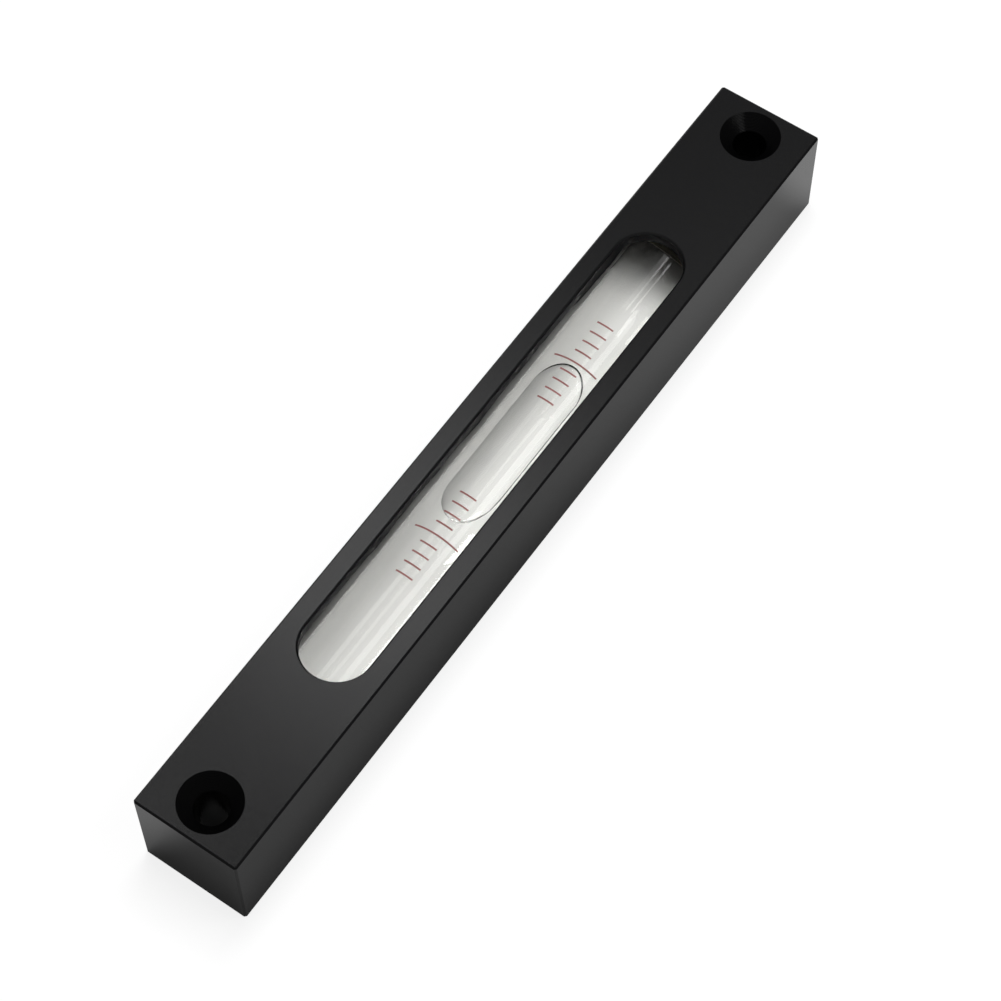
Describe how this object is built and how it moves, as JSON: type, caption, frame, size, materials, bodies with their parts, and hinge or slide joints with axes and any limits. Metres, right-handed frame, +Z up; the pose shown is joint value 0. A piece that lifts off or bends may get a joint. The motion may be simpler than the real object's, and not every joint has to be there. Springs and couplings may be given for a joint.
{
  "type": "machinist level",
  "caption": "Bar spirit level with a ground glass vial seen through a slot in its top, and a countersunk fixing hole at each end.",
  "frame": {"origin": "middle of the base, on the surface that the level stands on", "axes": "+X along the bar to its far end, +Y across it to its left side, +Z up out of the window"},
  "size_m": [0.15, 0.0178, 0.0177],
  "materials": {
    "bar": "black anodised, satin",
    "cover": "black anodised, satin",
    "screw_steel": "blackened",
    "plaster": "cast, matt",
    "vial_glass": "polished",
    "cement": "matt",
    "spirit": "clear liquid",
    "air": "clear bubble",
    "line_enamel": "fired enamel"
  },
  "bodies": {
    "level": {"bottom_cover": "cover", "cover_screw_far_left": "screw_steel", "cover_screw_far_right": "screw_steel", "cover_screw_near_left": "screw_steel", "cover_screw_near_right": "screw_steel", "inner_line_far_1": "line_enamel", "inner_line_far_2": "line_enamel", "inner_line_far_3": "line_enamel", "inner_line_far_4": "line_enamel", "inner_line_near_1": "line_enamel", "inner_line_near_2": "line_enamel", "inner_line_near_3": "line_enamel", "inner_line_near_4": "line_enamel", "level_body": "bar", "major_line_far": "line_enamel", "major_line_near": "line_enamel", "outer_line_far_1": "line_enamel", "outer_line_far_2": "line_enamel", "outer_line_far_3": "line_enamel", "outer_line_far_4": "line_enamel", "outer_line_near_1": "line_enamel", "outer_line_near_2": "line_enamel", "outer_line_near_3": "line_enamel", "outer_line_near_4": "line_enamel", "plaster_bed": "plaster", "plug_cement_far": "cement", "plug_cement_near": "cement", "spirit_fill": "spirit", "vial_plug_far": "vial_glass", "vial_plug_near": "vial_glass", "vial_tube": "vial_glass"},
    "bubble": {"bubble": "air"}
  },
  "joints": [
    {"name": "bubble_run", "type": "slide", "parent": "level", "child": "bubble", "axis": [1, 0, 0], "range_m": [-0.0329, 0.0287], "stiffness_N_per_m": 0.002, "deforming": ["spirit_fill"]}
  ]
}
